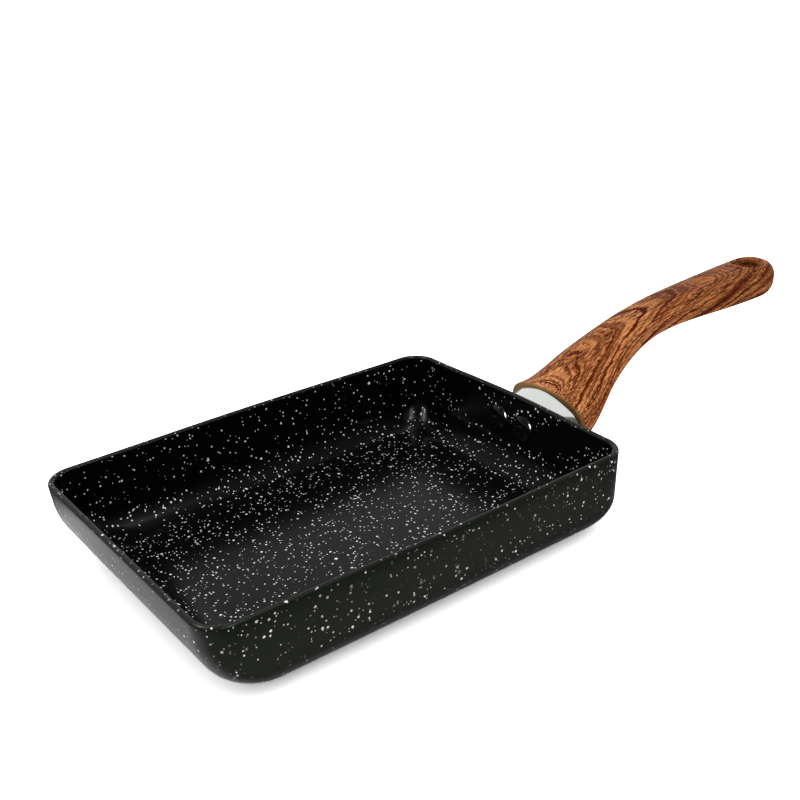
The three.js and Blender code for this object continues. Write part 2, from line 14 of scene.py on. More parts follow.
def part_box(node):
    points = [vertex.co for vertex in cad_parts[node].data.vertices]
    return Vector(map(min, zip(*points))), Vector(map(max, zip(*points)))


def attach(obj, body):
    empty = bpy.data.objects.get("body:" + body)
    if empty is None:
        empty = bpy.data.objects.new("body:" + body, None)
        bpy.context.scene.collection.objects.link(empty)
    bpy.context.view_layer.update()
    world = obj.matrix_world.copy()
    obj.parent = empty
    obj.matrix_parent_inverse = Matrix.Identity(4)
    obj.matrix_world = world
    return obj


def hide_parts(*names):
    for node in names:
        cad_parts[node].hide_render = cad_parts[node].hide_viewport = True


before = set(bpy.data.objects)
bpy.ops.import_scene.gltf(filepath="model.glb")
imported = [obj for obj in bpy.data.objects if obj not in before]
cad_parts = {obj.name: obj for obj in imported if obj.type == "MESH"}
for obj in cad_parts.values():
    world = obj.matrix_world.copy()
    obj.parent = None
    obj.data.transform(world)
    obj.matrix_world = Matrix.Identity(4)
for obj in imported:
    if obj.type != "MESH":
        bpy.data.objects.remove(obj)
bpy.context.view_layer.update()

# Tray: aluminium sheet pressed to a shallow box and sprayed all over with a black non-stick coating. The
# front wall leans out over a wide curve, for tipping out, and the other walls bow out at the rim. Three
# shallow rings pressed into the underside keep the base flat on the heat.

MM = 0.001
TRAY_WALL = 2.5 * MM
TRAY_BASE = 3 * MM
RIM_CORNER = 11.5 * MM
SIDE_DRAFT = radians(1.6)
SIDE_FILLET = 15 * MM
FRONT_DRAFT = radians(6)
FRONT_FILLET = 30 * MM
SIDE_BOW = 1.2 * MM
BACK_BOW = 1.8 * MM
GROOVE_COUNT = 3
GROOVE_WIDTH = 2.4 * MM
GROOVE_DEPTH = 0.6 * MM
GROOVE_SLOPE = 0.4 * MM
GROOVE_PITCH = 8 * MM
GROOVE_MARGIN = 4 * MM
CORNER_STEPS = 16
CURVE_STEPS = 32
RIM_STEPS = 10
BOW_STEPS = 24
FLOOR_BORDER = 3 * MM
SHARP_ANGLE = radians(40)

tray_low, tray_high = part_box("pan_body")
rim_round = TRAY_WALL / 2
wall_top = tray_high.z - rim_round
rim_x = tray_high.x - BACK_BOW
rim_y = tray_high.y - SIDE_BOW

# A ring round the tray: how far it stands in from the rim at the sides and at the front, and its corners
Ring = namedtuple("Ring", "height side front corner")


def wall_inset(height, edge, floor, draft, fillet):
    """Distance in from the rim: the wall leans by its draft, down to a fillet that meets the floor."""
    if height >= floor + fillet * (1 - sin(draft)):
        return edge + (wall_top - height) * tan(draft)
    rise = wall_top - floor - fillet
    fillet_centre = edge + (fillet + rise * sin(draft)) / cos(draft)
    below = fillet - (height - floor)
    return fillet_centre - sqrt(fillet ** 2 - below ** 2)


def wall_rings(edge, floor):
    """Rings up one side of the wall, from the floor to the rim."""
    side_fillet = SIDE_FILLET - edge
    front_fillet = FRONT_FILLET - edge
    turns = [pi / 2 * step / CURVE_STEPS for step in range(CURVE_STEPS + 1)]
    heights = [floor + front_fillet * (1 - cos(turn)) for turn in turns] + [wall_top]
    rings = []
    for height in heights:
        side = wall_inset(height, edge, floor, SIDE_DRAFT, side_fillet)
        front = wall_inset(height, edge, floor, FRONT_DRAFT, front_fillet)
        rings.append(Ring(height, side, front, RIM_CORNER - edge))
    return rings


outside = wall_rings(0, 0)
inside = wall_rings(TRAY_WALL, TRAY_BASE)[::-1]
rim = []
for step in range(1, RIM_STEPS):
    turn = pi * step / RIM_STEPS
    inset = rim_round * (1 - cos(turn))
    rim.append(Ring(wall_top + rim_round * sin(turn), inset, inset, RIM_CORNER - inset))

underside = []
groove_section = (
    (GROOVE_WIDTH, 0),
    (GROOVE_WIDTH - GROOVE_SLOPE, GROOVE_DEPTH),
    (GROOVE_SLOPE, GROOVE_DEPTH),
    (0, 0),
)
for groove in reversed(range(GROOVE_COUNT)):
    for inward, depth in groove_section:
        inset = GROOVE_MARGIN + GROOVE_PITCH * groove + inward
        base = outside[0]
        underside.append(Ring(depth, base.side + inset, base.front + inset, RIM_CORNER - inward))


def corner_centre(ring, side_x, side_y):
    """Centre of a ring's rounded corner, on one side in x and in y."""
    edge_x = rim_x - ring.side if side_x > 0 else tray_low.x + ring.front
    edge_y = side_y * (rim_y - ring.side)
    return Vector((edge_x - side_x * ring.corner, edge_y - side_y * ring.corner, ring.height))


def kind_of(parts, kind):
    return [part for part in parts if isinstance(part, kind)]


tray_rings = underside + outside + rim + inside
first = tray_rings[0]
back_x = rim_x - first.side
front_x = tray_low.x + first.front
half_y = rim_y - first.side
middle = Matrix.Translation(((back_x + front_x) / 2, 0, first.height))
plan = Matrix.Diagonal((back_x - front_x, 2 * half_y, 1, 1))
tray_mesh = bmesh.new()
bmesh.ops.create_grid(tray_mesh, x_segments=1, y_segments=1, size=0.5, matrix=middle @ plan)
bmesh.ops.bevel(
    tray_mesh, geom=tray_mesh.verts[:], offset=first.corner, affect="VERTICES",
    segments=CORNER_STEPS, profile=0.5, material=-1,
)
bmesh.ops.delete(tray_mesh, geom=tray_mesh.faces[:], context="FACES_ONLY")
edge = tray_mesh.edges[:]
for last, ring in pairwise(tray_rings):
    grown = bmesh.ops.extrude_edge_only(tray_mesh, edges=edge)["geom"]
    edge = kind_of(grown, bmesh.types.BMEdge)
    for side_x, side_y in product((-1, 1), repeat=2):
        new_verts = kind_of(grown, bmesh.types.BMVert)
        corner = [v for v in new_verts if v.co.x * side_x > 0 and v.co.y * side_y > 0]
        centre = corner_centre(last, side_x, side_y)
        growth = ring.corner / last.corner
        bmesh.ops.scale(tray_mesh, vec=(growth, growth, 1), space=Matrix.Translation(-centre), verts=corner)
        bmesh.ops.translate(tray_mesh, vec=corner_centre(ring, side_x, side_y) - centre, verts=corner)
    for face in kind_of(grown, bmesh.types.BMFace):
        face.material_index = int(ring in inside)

# The left, right and handle walls bow out between their corners, most at the rim and not at the base
side_edges = [e for e in tray_mesh.edges if e.verts[0].co.x * e.verts[1].co.x < 0]
handle_edges = [e for e in tray_mesh.edges if e.verts[0].co.y * e.verts[1].co.y < 0 < e.verts[0].co.x]
for edges, along, across, half, reach in (
    (side_edges, 0, 1, rim_x, SIDE_BOW),
    (handle_edges, 1, 0, rim_y, BACK_BOW),
):
    inner = bmesh.ops.subdivide_edges(tray_mesh, edges=edges, cuts=BOW_STEPS - 1)["geom_inner"]
    for vert in kind_of(inner, bmesh.types.BMVert):
        share = vert.co[along] / (half - RIM_CORNER)
        bow = reach * vert.co.z / wall_top * (1 - share ** 2) ** 2
        vert.co[across] += copysign(bow, vert.co[across])

open_edges = [e for e in tray_mesh.edges if e.is_boundary]
floors = bmesh.ops.edgeloop_fill(tray_mesh, edges=open_edges)["faces"]
cooking_floor = max(floors, key=lambda face: face.verts[0].co.z)
cooking_floor.material_index = 1
bmesh.ops.inset_region(tray_mesh, faces=[cooking_floor], thickness=FLOOR_BORDER)
bmesh.ops.recalc_face_normals(tray_mesh, faces=tray_mesh.faces)


def linear(hex_colour):
    """Linear colour, with alpha, of an sRGB hex value."""
    shares = [int(hex_colour[i:i + 2], 16) / 255 for i in (1, 3, 5)]
    return [c / 12.92 if c <= 0.04045 else ((c + 0.055) / 1.055) ** 2.4 for c in shares] + [1]


def add(tree, kind, inputs, **settings):
    """Adds a node with its settings, fills or links its inputs, and gives its outputs."""
    node = tree.nodes.new(kind)
    for name, value in settings.items():
        setattr(node, name, value)
    for socket, value in inputs.items():
        if isinstance(value, bpy.types.NodeSocket):
            tree.links.new(value, node.inputs[socket])
        else:
            node.inputs[socket].default_value = value
    return node.outputs


def new_material(name, **surface):
    """A material whose shader has these even values, and its node tree and shader."""
    material = bpy.data.materials.new(name)
    material.use_nodes = True
    shader = material.node_tree.nodes["Principled BSDF"]
    for socket, value in surface.items():
        shader.inputs[socket.replace("_", " ")].default_value = value
    return material, material.node_tree, shader


# Stone-effect non-stick coating: black fluoropolymer with pale flakes sprayed into the wet top coat. It
# is a satin black with a slight orange peel, and the flakes show as white and grey specks of many sizes.
SPRAY_PEEL = 1.1 * MM
PEEL_DEPTH = 0.05 * MM
PEEL_STRENGTH = 0.12
SPRAY_WARP = 0.9 * MM
WARP_REACH = 0.35 * MM
FLAKE_EDGE = 0.04 * MM
FLAKE_PALE = linear("#ffffff")

# Spacing of the flakes, radius of the largest, and the share of places that have one
Flakes = namedtuple("Flakes", "spacing radius share")


def stone_coating(name, black, dull, all_flakes, on_walls=1, **surface):
    """The coating, from its black, its dullest flakes, all of them and their share on upright walls."""
    material, tree, shader = new_material(name, **surface)
    place = add(tree, "ShaderNodeTexCoord", {})["Object"]
    height = add(tree, "ShaderNodeSeparateXYZ", {0: place})["Z"]
    settled = add(tree, "ShaderNodeMapRange", {
        "Value": height, "From Min": TRAY_BASE, "From Max": SIDE_FILLET, "To Min": 1, "To Max": on_walls,
    })[0]
    warp = add(tree, "ShaderNodeTexNoise", {"Vector": place, "Scale": 1 / SPRAY_WARP, "Detail": 1})["Color"]
    offset = add(tree, "ShaderNodeVectorMath", {0: warp, 1: (0.5, 0.5, 0.5)}, operation="SUBTRACT")[0]
    reach = (WARP_REACH, WARP_REACH, WARP_REACH)
    warped = add(
        tree, "ShaderNodeVectorMath", {0: offset, 1: reach, 2: place}, operation="MULTIPLY_ADD",
    )[0]
    colour = linear(black)
    for flakes in all_flakes:
        cells = add(tree, "ShaderNodeTexVoronoi", {"Vector": warped, "Scale": 1 / flakes.spacing})
        chance = add(tree, "ShaderNodeSeparateColor", {0: cells["Color"]})
        bare = add(tree, "ShaderNodeMath", {
            0: settled, 1: -flakes.share, 2: 1,
        }, operation="MULTIPLY_ADD")[0]
        level = add(tree, "ShaderNodeMapRange", {
            "Value": chance["Red"], "From Min": bare, "From Max": 1,
        })[0]
        size = add(tree, "ShaderNodeMath", {0: level}, operation="SQRT")[0]
        radius = add(tree, "ShaderNodeMath", {
            0: size, 1: flakes.radius / flakes.spacing,
        }, operation="MULTIPLY")[0]
        within = add(tree, "ShaderNodeMath", {0: radius, 1: cells["Distance"]}, operation="SUBTRACT")[0]
        mask = add(tree, "ShaderNodeMapRange", {
            "Value": within, "From Min": 0, "From Max": FLAKE_EDGE / flakes.spacing,
        })[0]
        mostly_dull = add(tree, "ShaderNodeMath", {
            0: chance["Green"], 1: chance["Green"],
        }, operation="MULTIPLY")[0]
        flake_tone = add(tree, "ShaderNodeMix", {
            0: mostly_dull, 6: linear(dull), 7: FLAKE_PALE,
        }, data_type="RGBA")[2]
        colour = add(tree, "ShaderNodeMix", {0: mask, 6: colour, 7: flake_tone}, data_type="RGBA")[2]
    tree.links.new(colour, shader.inputs["Base Color"])
    peel = add(tree, "ShaderNodeTexNoise", {"Vector": place, "Scale": 1 / SPRAY_PEEL, "Detail": 2})["Fac"]
    bump = add(tree, "ShaderNodeBump", {
        "Height": peel, "Strength": PEEL_STRENGTH, "Distance": PEEL_DEPTH,
    })[0]
    tree.links.new(bump, shader.inputs["Normal"])
    return material


outer_coating = stone_coating(
    "outer stone-effect coating", "#171a15", "#4a4b48",
    [Flakes(1.4 * MM, 0.36 * MM, 0.5), Flakes(2.3 * MM, 0.56 * MM, 0.5), Flakes(5.5 * MM, 0.85 * MM, 0.3)],
    Roughness=0.32, IOR=1.3, Specular_Tint=(0.1, 0.11, 0.1, 1),
)
inner_coating = stone_coating(
    "cooking-surface stone-effect coating", "#030403", "#f2f2ef",
    [Flakes(1.3 * MM, 0.37 * MM, 0.5), Flakes(2 * MM, 0.5 * MM, 0.42), Flakes(5.5 * MM, 0.7 * MM, 0.25)],
    on_walls=0.45, Roughness=0.24, IOR=1.28, Specular_Tint=(0.1, 0.11, 0.1, 1),
)


def to_piece(mesh, name, *materials):
    """Turns a bmesh into a smooth-shaded piece, with its hard edges kept."""
    data = bpy.data.meshes.new(name)
    mesh.to_mesh(data)
    mesh.free()
    for material in materials:
        data.materials.append(material)
    piece = bpy.data.objects.new(name, data)
    bpy.context.scene.collection.objects.link(piece)
    shade(piece)
    return piece


def shade(piece):
    piece.data.shade_smooth()
    piece.data.set_sharp_from_angle(angle=SHARP_ANGLE)


tray = to_piece(tray_mesh, "tray", outer_coating, inner_coating)
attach(tray, "root")
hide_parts("pan_body")

# Rivets: two solid aluminium rivets, headed inside the tray and coated with it, then upset behind the
# bracket. Their low domes are all that shows.

RIVET_DROP = 12.9 * MM
RIVET_DOME = 2.4 * MM
RIVET_EDGE = 0.35 * MM
RIVET_SHANK = 2.5 * MM
RIVET_TAIL = 3.5 * MM
RIVET_TAIL_HEIGHT = 1.8 * MM
RIVET_TAIL_CHAMFER = 0.6 * MM
FLANGE_THICKNESS = 3 * MM
FIT_GAP = 0.3 * MM
DOME_STEPS = 14
TURN_STEPS = 72


def turned(profile):
    """Closed shape turned about Z, from a half section that starts and ends on the axis."""
    mesh = bmesh.new()
    points = [mesh.verts.new((radius, 0, height)) for radius, height in profile]
    lines = [mesh.edges.new(pair) for pair in pairwise(points)]
    bmesh.ops.spin(
        mesh, geom=points + lines, cent=(0, 0, 0), axis=(0, 0, 1), angle=2 * pi,
        steps=TURN_STEPS, use_merge=True,
    )
    bmesh.ops.remove_doubles(mesh, verts=mesh.verts, dist=MM / 1000)
    bmesh.ops.recalc_face_normals(mesh, faces=mesh.faces)
    return mesh


wall_lean = atan(tan(SIDE_DRAFT) + BACK_BOW / wall_top)


def wall_x(height):
    """Outside of the handle wall at a height, in its middle."""
    return tray_high.x - (wall_top - height) * tan(wall_lean)


head_low, head_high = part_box("rivet_left")
head_radius = (head_high.y - head_low.y) / 2
rivet_y = (head_high.y + head_low.y) / 2
rivet_z = tray_high.z - RIVET_DROP
flange_back = 2 * FIT_GAP + FLANGE_THICKNESS
head_seat = -TRAY_WALL - FIT_GAP
tail_end = flange_back + RIVET_TAIL_HEIGHT
dome = []
for step in range(DOME_STEPS + 1):
    turn = pi / 2 * step / DOME_STEPS
    dome.append((head_radius * sin(turn), head_seat - RIVET_EDGE - (RIVET_DOME - RIVET_EDGE) * cos(turn)))
rivet_section = dome + [
    (head_radius, head_seat),
    (RIVET_SHANK, head_seat),
    (RIVET_SHANK, flange_back),
    (RIVET_TAIL, flange_back),
    (RIVET_TAIL, tail_end - RIVET_TAIL_CHAMFER),
    (RIVET_TAIL - RIVET_TAIL_CHAMFER, tail_end),
    (0, tail_end),
]
wall_place = Matrix.Translation((wall_x(rivet_z), 0, rivet_z)) @ Matrix.Rotation(wall_lean, 4, "Y")
along_wall_normal = Matrix.Rotation(pi / 2, 4, "Y")
rivet_coating = stone_coating(
    "coated rivet heads", "#040504", "#969793", [Flakes(2.6 * MM, 0.35 * MM, 0.12)],
    Roughness=0.14, IOR=1.45, Specular_Tint=(0.2, 0.21, 0.2, 1),
)
rivets = []
for name, node, y in (("left_rivet", "rivet_left", rivet_y), ("right_rivet", "rivet_right", -rivet_y)):
    rivet_mesh = turned(rivet_section)
    rivet_place = wall_place @ Matrix.Translation((0, y, 0)) @ along_wall_normal
    bmesh.ops.transform(rivet_mesh, matrix=rivet_place, verts=rivet_mesh.verts)
    rivet = to_piece(rivet_mesh, name, rivet_coating)
    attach(rivet, "root")
    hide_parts(node)
    rivets.append(rivet)

# Bracket: an aluminium die casting, a flange on the wall with a tongue that runs into the handle. The
# collar and the handle cover it.

# As-cast aluminium: dull pale grey with the fine grain of the mould's skin.
CASTING_GRAIN = 0.6 * MM
GRAIN_DEPTH = 0.1 * MM
GRAIN_STRENGTH = 0.4

cast_aluminium, tree, shader = new_material("as-cast aluminium", Metallic=1, Roughness=0.55)
place = add(tree, "ShaderNodeTexCoord", {})["Object"]
grain = add(tree, "ShaderNodeTexNoise", {"Vector": place, "Scale": 1 / CASTING_GRAIN, "Detail": 3})["Fac"]
tone = add(tree, "ShaderNodeMix", {
    0: grain, 6: linear("#8d8f91"), 7: linear("#b9bbbd"),
}, data_type="RGBA")[2]
tree.links.new(tone, shader.inputs["Base Color"])
bump = add(tree, "ShaderNodeBump", {
    "Height": grain, "Strength": GRAIN_STRENGTH, "Distance": GRAIN_DEPTH,
})[0]
tree.links.new(bump, shader.inputs["Normal"])


def dress(node, material):
    """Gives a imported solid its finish."""
    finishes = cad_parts[node].data.materials
    finishes.clear()
    finishes.append(material)


dress("handle_bracket", cast_aluminium)

# Collar: an oval sleeve pressed from thin stainless steel, which hides the bracket between the wall and the
# handle. It flares to an ellipse just inside the handle's outline and folds in there to a neck, which slips
# into the handle's face.

COLLAR_LENGTH = 18.2 * MM
COLLAR_WALL = 0.8 * MM
COLLAR_FRONT_WIDTH = 14.5 * MM
COLLAR_FRONT_HEIGHT = 11 * MM
COLLAR_DROP = 1.5 * MM
COLLAR_INSERT = 3 * MM
COLLAR_FLARE = 2.2
COLLAR_SIDE_SETBACK = 1 * MM
COLLAR_TOP_SETBACK = 1 * MM
COLLAR_SQUARENESS = 2
COLLAR_EDGE = 0.3 * MM
JOINT_DROP = 2 * MM
FACE_TILT = radians(11)
FACE_WIDTH = 21.7 * MM
FACE_HEIGHT = 13.25 * MM
FACE_WALL = 1.6 * MM
SQUARENESS = 2.4
SECTION_STEPS = 96
COLLAR_STEPS = 20
EDGE_STEPS = 4

# An oval across the handle: its middle, lean and half sizes, its distance from the wall or the joint, and
# how square it is
Section = namedtuple("Section", "centre tilt half_width half_height along squareness")


def heading(slope):
    """Unit vector in the plane of symmetry, at a slope above +X."""
    return Vector((cos(slope), 0, sin(slope)))


def ease(share):
    share = min(max(share, 0), 1)
    return share ** 2 * (3 - 2 * share)


def mix(start, end, share):
    return start + (end - start) * share


def lay_ring(verts, layers, section):
    """Lays a ring's points on a section, and notes how far along and how high on it they are."""
    power = 2 / section.squareness
    for vert in verts:
        across = copysign(abs(cos(vert[layers["angle"]])) ** power, cos(vert[layers["angle"]]))
        rise = copysign(abs(sin(vert[layers["angle"]])) ** power, sin(vert[layers["angle"]]))
        up = section.half_height * rise
        vert[layers["along"]] = section.along
        vert[layers["up"]] = up
        lean = Vector((-sin(section.tilt), 0, cos(section.tilt)))
        vert.co = section.centre + up * lean + Vector((0, section.half_width * across, 0))


def swept(sections, steps):
    """Skin through a row of sections, with its first and last rings of edges. The first has a face."""
    mesh = bmesh.new()
    layers = {name: mesh.verts.layers.float.new(name) for name in ("angle", "along", "up")}
    start = bmesh.ops.create_circle(mesh, cap_ends=True, segments=steps, radius=1)["verts"]
    for vert in start:
        vert[layers["angle"]] = atan2(vert.co.y, vert.co.x)
    lay_ring(start, layers, sections[0])
    first_edge = last_edge = mesh.edges[:]
    for section in sections[1:]:
        grown = bmesh.ops.extrude_edge_only(mesh, edges=last_edge)["geom"]
        last_edge = kind_of(grown, bmesh.types.BMEdge)
        lay_ring(kind_of(grown, bmesh.types.BMVert), layers, section)
    return mesh, first_edge, last_edge


def unroll(mesh):
    """Keeps the place along and the height on the section as a flat map, for finishes that follow it."""
    flat = mesh.loops.layers.uv.new("along_and_up")
    along = mesh.verts.layers.float["along"]
    up = mesh.verts.layers.float["up"]
    for face in mesh.faces:
        for loop in face.loops:
            loop[flat].uv = (loop.vert[along], loop.vert[up])
    for name in ("angle", "along", "up"):
        mesh.verts.layers.float.remove(mesh.verts.layers.float[name])


joint_z = rivet_z - JOINT_DROP
joint = Vector((wall_x(joint_z) + COLLAR_LENGTH, 0, joint_z))
collar_front = Vector((wall_x(rivet_z) + FIT_GAP, 0, rivet_z - COLLAR_DROP))
seat_width = FACE_WIDTH - FACE_WALL
seat_height = FACE_HEIGHT - FACE_WALL


def collar_section(distance, half_width, half_height, squareness):
    """Section of the collar at a distance from the wall, or past its free length, inside the handle."""
    share = min(distance / COLLAR_LENGTH, 1)
    centre = collar_front.lerp(joint, share) + heading(FACE_TILT) * max(distance - COLLAR_LENGTH, 0)
    tilt = mix(-wall_lean, FACE_TILT, share)
    return Section(centre, tilt, half_width, half_height, distance, squareness)


def flare_section(distance, grow):
    flare = (distance / COLLAR_LENGTH) ** COLLAR_FLARE
    half_width = mix(COLLAR_FRONT_WIDTH, FACE_WIDTH - COLLAR_SIDE_SETBACK, flare)
    half_height = mix(COLLAR_FRONT_HEIGHT, FACE_HEIGHT - COLLAR_TOP_SETBACK, flare)
    squareness = mix(SQUARENESS, COLLAR_SQUARENESS, flare)
    return collar_section(distance, half_width + grow, half_height + grow, squareness)


def collar_skin(fold, edge, grow):
    """One skin of the collar: its flare, the round edge of its fold and the neck behind it."""
    sections = []
    for step in range(COLLAR_STEPS + 1):
        sections.append(flare_section((fold - edge) * step / COLLAR_STEPS, grow))
    for step in range(1, EDGE_STEPS + 1):
        turn = pi / 2 * step / EDGE_STEPS
        sections.append(flare_section(fold - edge * (1 - sin(turn)), grow - edge * (1 - cos(turn))))
    for distance in (fold, COLLAR_LENGTH + COLLAR_INSERT):
        neck = collar_section(distance, neck_width + grow, neck_height + grow, COLLAR_SQUARENESS)
        sections.append(neck)
    return sections


neck_width = seat_width - FIT_GAP
neck_height = seat_height - FIT_GAP
fold = COLLAR_LENGTH - FIT_GAP
collar_sections = collar_skin(fold, COLLAR_EDGE, 0)
collar_sections += collar_skin(fold - COLLAR_WALL, COLLAR_EDGE, -COLLAR_WALL)[::-1]
collar_mesh, front_edge, inner_edge = swept(collar_sections, SECTION_STEPS)
end_faces = [face for face in collar_mesh.faces if len(face.verts) > 4]
bmesh.ops.delete(collar_mesh, geom=end_faces, context="FACES_ONLY")
bmesh.ops.bridge_loops(collar_mesh, edges=front_edge + inner_edge)
bmesh.ops.recalc_face_normals(collar_mesh, faces=collar_mesh.faces)
unroll(collar_mesh)

# Satin stainless steel: fine brush lines run round the collar, and blur what it mirrors along its length.
BRUSH_LINE = 0.18 * MM
BRUSH_RUN = 40 * MM
BRUSH_DEPTH = 0.02 * MM
BRUSH_STRENGTH = 0.15
STEEL_SMOOTHEST = 0.1
STEEL_ROUGHEST = 0.22

satin_steel, tree, shader = new_material("satin stainless steel", Metallic=1)
along = add(tree, "ShaderNodeSeparateXYZ", {
    0: add(tree, "ShaderNodeUVMap", {}, uv_map="along_and_up")[0],
})["X"]
across = add(tree, "ShaderNodeSeparateXYZ", {0: add(tree, "ShaderNodeTexCoord", {})["Object"]})
line = add(tree, "ShaderNodeMath", {0: along, 1: BRUSH_LINE}, operation="DIVIDE")[0]
run_y = add(tree, "ShaderNodeMath", {0: across["Y"], 1: BRUSH_RUN}, operation="DIVIDE")[0]
run_z = add(tree, "ShaderNodeMath", {0: across["Z"], 1: BRUSH_RUN}, operation="DIVIDE")[0]
brush_place = add(tree, "ShaderNodeCombineXYZ", {0: line, 1: run_y, 2: run_z})[0]
brush = add(tree, "ShaderNodeTexNoise", {"Vector": brush_place, "Scale": 1, "Detail": 3})["Fac"]
tone = add(tree, "ShaderNodeMix", {
    0: brush, 6: linear("#ced0ce"), 7: linear("#e2e4e2"),
}, data_type="RGBA")[2]
tree.links.new(tone, shader.inputs["Base Color"])
roughness = add(tree, "ShaderNodeMapRange", {
    "Value": brush, "To Min": STEEL_SMOOTHEST, "To Max": STEEL_ROUGHEST,
})[0]
tree.links.new(roughness, shader.inputs["Roughness"])
bump = add(tree, "ShaderNodeBump", {
    "Height": brush, "Strength": BRUSH_STRENGTH, "Distance": BRUSH_DEPTH,
})[0]
tree.links.new(bump, shader.inputs["Normal"])

collar = to_piece(collar_mesh, "collar", satin_steel)
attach(collar, "root")
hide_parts("ferrule")

# Handle: a phenolic moulding with a wood-grain film printed on it by water transfer. It flares to an oval
# face round the collar, climbs to a slim waist and ends in a rounded tip with a hanging hole. A socket
# takes the bracket's tongue, and a counterbore below takes the screw.

FACE_LEAD = 11.2 * MM
SHOULDER = Vector((25.5, 0, 14.6)) * MM
SHOULDER_SLOPE = radians(29.6)
SHOULDER_LEAD = 40.6 * MM
TIP_RISE = 30.9 * MM
TIP_SLOPE = radians(2.3)
TIP_LEAD = 73 * MM
WAIST_WIDTH = 10.15 * MM
WAIST_HEIGHT = 7.3 * MM
WAIST_DISTANCE = 69 * MM
FLARE_POWER = 0.66
TIP_WIDTH = 12.25 * MM
TIP_HEIGHT = 9.2 * MM
TIP_ROUND = 15 * MM
TIP_PLAN_POWER = 2
TIP_SIDE_POWER = 3
TIP_LEAN = radians(10)
TIP_MARGIN = 0.1 * MM
LIP_ROUND = 0.6 * MM
LIP_STEPS = 6
HANDLE_STEPS = 120
TIP_STEPS = 28
LINE_STEPS = 200

shoulder = joint + SHOULDER
tip = Vector((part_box("handle")[1].x - TIP_MARGIN, 0, joint.z + TIP_RISE))
line_points = interpolate_bezier(
    joint, joint + heading(FACE_TILT) * FACE_LEAD,
    shoulder - heading(SHOULDER_SLOPE) * FACE_LEAD, shoulder, LINE_STEPS,
)
line_points += interpolate_bezier(
    shoulder, shoulder + heading(SHOULDER_SLOPE) * SHOULDER_LEAD,
    tip - heading(TIP_SLOPE) * TIP_LEAD, tip, LINE_STEPS,
)[1:]
line_lengths = [0, *accumulate((b - a).length for a, b in pairwise(line_points))]
handle_length = line_lengths[-1]
tip_start = handle_length - TIP_ROUND


def on_line(distance):
    """Point of the handle's middle line at a distance from the joint, and the line's slope there."""
    index = min(bisect(line_lengths, distance), len(line_points) - 1)
    before, after = line_points[index - 1], line_points[index]
    step = line_lengths[index] - line_lengths[index - 1]
    slope = atan2(after.z - before.z, after.x - before.x)
    return before.lerp(after, (distance - line_lengths[index - 1]) / step), slope


def girth(distance, front, waist, end):
    if distance < WAIST_DISTANCE:
        return mix(front, waist, ease((distance / WAIST_DISTANCE) ** FLARE_POWER))
    return mix(waist, end, ease((distance - WAIST_DISTANCE) / (tip_start - WAIST_DISTANCE)))


def handle_section(distance, trim=0):
    past = max(0, (distance - tip_start) / TIP_ROUND)
    width = girth(distance, FACE_WIDTH, WAIST_WIDTH, TIP_WIDTH) * sqrt(1 - past ** TIP_PLAN_POWER)
    height = girth(distance, FACE_HEIGHT, WAIST_HEIGHT, TIP_HEIGHT) * sqrt(1 - past ** TIP_SIDE_POWER)
    centre, slope = on_line(distance)
    tilt = slope - TIP_LEAN * past ** 2
    return Section(centre, tilt, width - trim, height - trim, distance, SQUARENESS)


seat_depth = COLLAR_INSERT + FIT_GAP
handle_sections = [
    Section(
        joint + heading(FACE_TILT) * depth, FACE_TILT,
        seat_width, seat_height, depth, COLLAR_SQUARENESS,
    )
    for depth in (seat_depth, 0)
]
for step in range(LIP_STEPS):
    turn = pi / 2 * step / LIP_STEPS
    handle_sections.append(handle_section(LIP_ROUND * (1 - cos(turn)), LIP_ROUND * (1 - sin(turn))))
for step in range(HANDLE_STEPS + 1):
    handle_sections.append(handle_section(mix(LIP_ROUND, tip_start, step / HANDLE_STEPS)))
for step in range(1, TIP_STEPS):
    handle_sections.append(handle_section(tip_start + TIP_ROUND * sin(pi / 2 * step / TIP_STEPS)))
handle_mesh, _, tip_edge = swept(handle_sections, SECTION_STEPS)
bmesh.ops.edgeloop_fill(handle_mesh, edges=tip_edge)
bmesh.ops.recalc_face_normals(handle_mesh, faces=handle_mesh.faces)
for face in handle_mesh.faces[:1 + SECTION_STEPS]:
    face.material_index = 1
unroll(handle_mesh)

# Water-transfer wood print under satin lacquer: reddish brown with the flames of a plank cut near the
# heart. The rings arch over the top towards the tip and run along the sides as fine dark lines, broken by
# short pores. At the moulding's front edge the ink gathers to a dull olive, with painted light making it
# tan on the +Y side and painted shade darkening it on the -Y side. The whole print is also multiplied
# darker towards the tip as painted shade.
HEART_HEIGHT = 26
HEART_CLIMB = 0.1
HEART_CURVE = 0.0008
RING_SPACING = 4.6
RING_WANDER = 6
WANDER_LENGTH = 30
WANDER_WIDTH = 11
FEATHER_DEPTH = 1.1
FEATHER_SIZE = (0.45, 10, 0.45)
LATE_WOOD_START = 0.35
LATE_WOOD_FULL = 0.97
EARLY_WOOD_END = 0.12
OLIVE_TOP = 0.5
OLIVE_SIDE = 2.6
OLIVE_FADE = 0.5
OLIVE_WEIGHT = 0.85
PORE_DEPTH = 0.05 * MM
PORE_STRENGTH = 0.1

